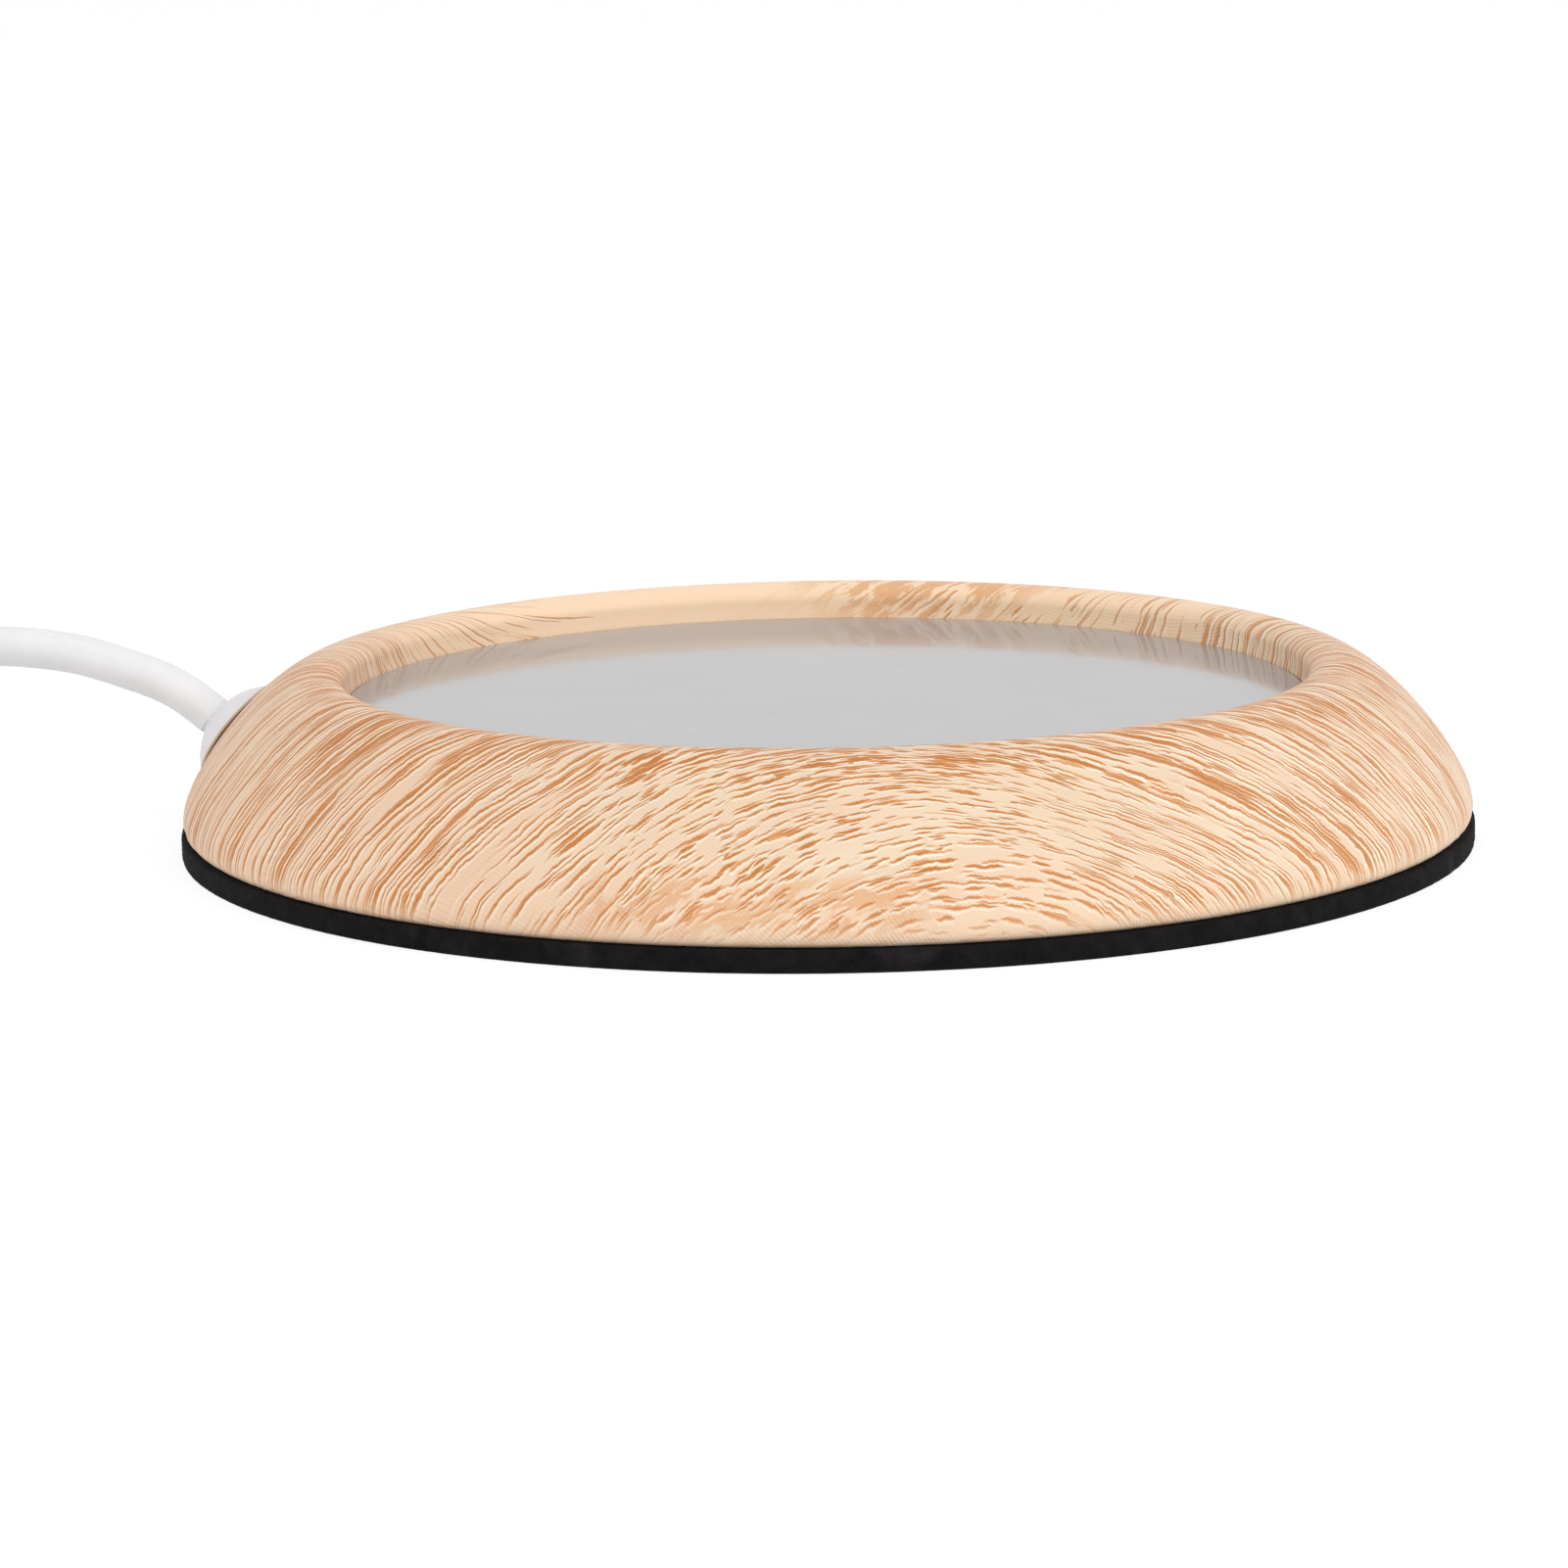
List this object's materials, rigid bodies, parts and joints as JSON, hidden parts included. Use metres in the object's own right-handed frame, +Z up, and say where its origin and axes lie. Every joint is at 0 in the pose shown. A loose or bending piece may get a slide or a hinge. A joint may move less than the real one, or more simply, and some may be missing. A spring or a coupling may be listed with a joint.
{
  "type": "electric mug warmer",
  "caption": "Low round mug warmer: a flat heated plate sunk in a padded ring with a wood-grain cover, on a foam rubber foot, with a thin USB lead and a rocker switch on the lead.",
  "frame": {"origin": "centre of the foam pad's underside, on the table", "axes": "+Z up; the user sits at -Y; the lead leaves towards -X"},
  "size_m": [0.2225, 0.1246, 0.0186],
  "materials": {
    "foam_rubber": "matt closed-cell foam",
    "wood_grain_cover": "printed leatherette, fine ribbed weave",
    "plate_enamel": "gloss",
    "core_plastic": "moulded",
    "dark_plastic": "moulded",
    "silicone": "dark grey, matt",
    "polyimide": "film",
    "resistor_ink": "printed foil",
    "felt": "needled mat",
    "steel": "zinc plated",
    "white_plastic": "moulded",
    "white_pvc": "soft jacket",
    "board_green": "solder mask",
    "component_tan": "moulded",
    "wire_red": "wire insulation",
    "wire_black": "wire insulation",
    "wire_white": "wire insulation",
    "rocker_plastic": "moulded",
    "contact_brass": "bright",
    "contact_bronze": "spring bronze",
    "shell_nickel": "nickel plated"
  },
  "bodies": {
    "root": {"base_pad": "foam_rubber", "bottom_plate": "dark_plastic", "case_screws": "steel", "rim_core": "core_plastic", "wood_grain_cover": "wood_grain_cover", "plate_gasket": "silicone", "warming_plate": "plate_enamel", "heater_film": "polyimide", "heater_track": "resistor_ink", "insulation_disc": "felt", "thermostat": "steel", "retainer_plate": "steel", "retainer_screws": "steel", "cable_gland": "white_plastic", "lead_inlet": "white_pvc", "cord_clamp": "core_plastic", "clamp_screws": "steel", "terminal_board": "board_green", "board_parts": "component_tan", "wire_live": "wire_red", "wire_return": "wire_black", "heater_tails": "wire_white", "near_lead": "white_pvc", "switch_lower_case": "white_plastic", "switch_upper_case": "white_plastic", "switch_terminals": "contact_brass", "switch_lead_ends": "white_pvc", "switch_screws": "steel", "far_lead": "white_pvc", "lead_coil": "white_pvc", "plug_lead": "white_pvc", "plug_grip": "white_plastic", "plug_shell": "shell_nickel", "plug_tongue": "white_plastic", "plug_contacts": "contact_brass"},
    "rocker": {"switch_rocker": "rocker_plastic", "rocker_blade": "contact_bronze"}
  },
  "joints": [
    {"name": "rocker_hinge", "type": "hinge", "parent": "root", "child": "rocker", "pos_m": [-0.1225, -0.056, 0.01], "axis": [0, 1, 0], "range_deg": [0, 16]}
  ]
}
